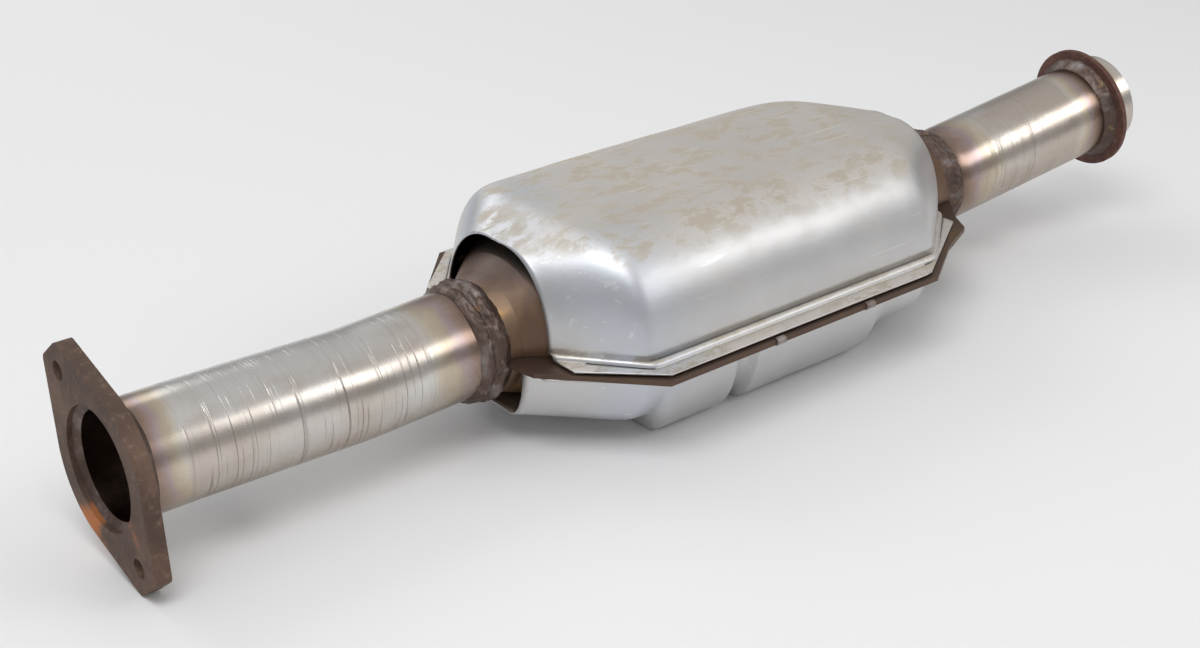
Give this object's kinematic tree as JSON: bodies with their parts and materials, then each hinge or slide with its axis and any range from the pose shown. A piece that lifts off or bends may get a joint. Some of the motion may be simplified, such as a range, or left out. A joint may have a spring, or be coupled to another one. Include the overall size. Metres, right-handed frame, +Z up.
{
  "type": "catalytic converter",
  "caption": "Exhaust catalytic converter: oval shielded body between an inlet pipe with a bolted flange and an angled outlet pipe with a collar.",
  "frame": {"origin": "centre of the inlet flange's mating face, on the bore's axis", "axes": "+X along the gas flow towards the outlet, +Z up as it lies, the seam of the shell level"},
  "size_m": [0.7896, 0.2208, 0.1235],
  "materials": {
    "rusted_plate": "rusted mild steel plate",
    "inlet_pipe_steel": "stainless tube with heat tint",
    "weld_metal": "oxidised weld metal",
    "boss_steel": "dark oxidised steel",
    "inner_shell_steel": "stainless sheet darkened by heat",
    "ceramic": "coated ceramic honeycomb",
    "mat_fibre": "ceramic fibre mat",
    "wire_mesh": "knitted wire mesh",
    "upper_shield_steel": "aluminised steel sheet, satin",
    "lower_shield_steel": "aluminised steel sheet, satin",
    "tack_metal": "bright tack weld",
    "outlet_pipe_steel": "stainless tube with heat tint",
    "collar_plate": "rusted mild steel plate"
  },
  "bodies": {
    "root": {"inlet_flange": "rusted_plate", "inlet_pipe": "inlet_pipe_steel", "inlet_flange_weld": "weld_metal", "inlet_bore_weld": "weld_metal", "inlet_boss_weld": "weld_metal", "inlet_neck_weld": "weld_metal", "outlet_neck_weld": "weld_metal", "outlet_boss_weld": "weld_metal", "outlet_collar_weld": "weld_metal", "inlet_sensor_boss": "boss_steel", "outlet_sensor_boss": "boss_steel", "upper_inner_shell": "inner_shell_steel", "lower_inner_shell": "inner_shell_steel", "front_substrate": "ceramic", "rear_substrate": "ceramic", "front_mat": "mat_fibre", "rear_mat": "mat_fibre", "front_mesh_seal": "wire_mesh", "rear_mesh_seal": "wire_mesh", "upper_heat_shield": "upper_shield_steel", "lower_heat_shield": "lower_shield_steel", "near_tack_weld_1": "tack_metal", "near_tack_weld_2": "tack_metal", "far_tack_weld_1": "tack_metal", "far_tack_weld_2": "tack_metal", "outlet_pipe": "outlet_pipe_steel", "outlet_collar": "collar_plate"}
  },
  "joints": []
}
